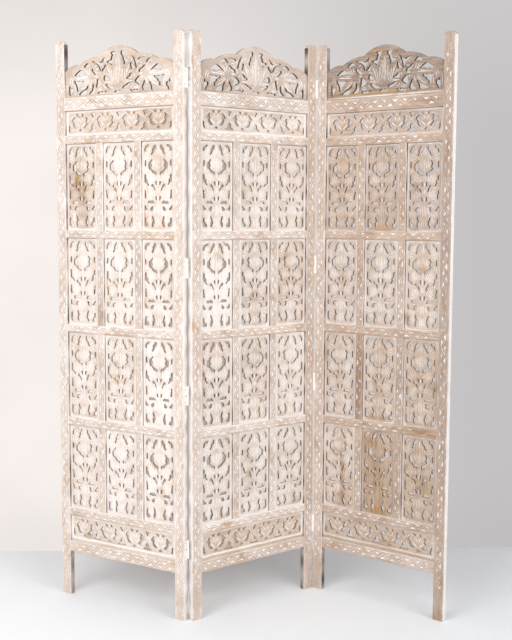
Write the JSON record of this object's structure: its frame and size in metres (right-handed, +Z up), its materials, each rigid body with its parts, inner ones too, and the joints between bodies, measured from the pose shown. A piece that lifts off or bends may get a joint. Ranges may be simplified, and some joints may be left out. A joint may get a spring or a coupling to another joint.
{
  "type": "folding screen",
  "caption": "Folding screen of hinged leaves with carved, pierced jali panels in a tenoned frame under a lobed crest.",
  "frame": {"origin": "on the floor under the middle of the screen's bounding box as it stands", "axes": "+Z up; the screen's fronts face -Y; +X to the right seen from the front"},
  "size_m": [1.2462, 0.3396, 1.83],
  "materials": {
    "frame_wood": "whitewashed mango wood, matt, worn",
    "panel_wood": "whitewashed carved wood, matt, white in the cuts",
    "crest_wood": "whitewashed carved wood, matt",
    "hinge_paint": "matt white paint over steel",
    "pin_steel": "dull, paint worn off",
    "screw_steel": "dull steel"
  },
  "bodies": {
    "middle_leaf": {"far_hinge_pins": "pin_steel", "far_hinge_plates_middle": "hinge_paint", "far_hinge_screws_middle": "screw_steel", "middle_bottom_frieze": "panel_wood", "middle_bottom_rail": "frame_wood", "middle_crest": "crest_wood", "middle_frieze_rail": "frame_wood", "middle_lower_rail": "frame_wood", "middle_mullions": "frame_wood", "middle_panels_1": "panel_wood", "middle_panels_2": "panel_wood", "middle_panels_3": "panel_wood", "middle_row_rail_1": "frame_wood", "middle_row_rail_2": "frame_wood", "middle_row_rail_3": "frame_wood", "middle_stile_left": "frame_wood", "middle_stile_right": "frame_wood", "middle_top_frieze": "panel_wood", "middle_top_rail": "frame_wood", "near_hinge_pins": "pin_steel", "near_hinge_plates_middle": "hinge_paint", "near_hinge_screws_middle": "screw_steel"},
    "left_leaf": {"left_bottom_frieze": "panel_wood", "left_bottom_rail": "frame_wood", "left_crest": "crest_wood", "left_frieze_rail": "frame_wood", "left_lower_rail": "frame_wood", "left_mullions": "frame_wood", "left_panels_1": "panel_wood", "left_panels_2": "panel_wood", "left_panels_3": "panel_wood", "left_row_rail_1": "frame_wood", "left_row_rail_2": "frame_wood", "left_row_rail_3": "frame_wood", "left_stile_left": "frame_wood", "left_stile_right": "frame_wood", "left_top_frieze": "panel_wood", "left_top_rail": "frame_wood", "near_hinge_plates_left": "hinge_paint", "near_hinge_screws_left": "screw_steel"},
    "right_leaf": {"far_hinge_plates_right": "hinge_paint", "far_hinge_screws_right": "screw_steel", "right_bottom_frieze": "panel_wood", "right_bottom_rail": "frame_wood", "right_crest": "crest_wood", "right_frieze_rail": "frame_wood", "right_lower_rail": "frame_wood", "right_mullions": "frame_wood", "right_panels_1": "panel_wood", "right_panels_2": "panel_wood", "right_panels_3": "panel_wood", "right_row_rail_1": "frame_wood", "right_row_rail_2": "frame_wood", "right_row_rail_3": "frame_wood", "right_stile_left": "frame_wood", "right_stile_right": "frame_wood", "right_top_frieze": "panel_wood", "right_top_rail": "frame_wood"}
  },
  "joints": [
    {"name": "near_fold", "type": "hinge", "parent": "middle_leaf", "child": "left_leaf", "pos_m": [-0.19224, -0.12322, 0.9], "axis": [0, 0, 1], "range_deg": [-110.8, 69.2]},
    {"name": "far_fold", "type": "hinge", "parent": "middle_leaf", "child": "right_leaf", "pos_m": [0.2272, 0.15284, 0.9], "axis": [0, 0, 1], "range_deg": [-103.7, 76.3]}
  ]
}
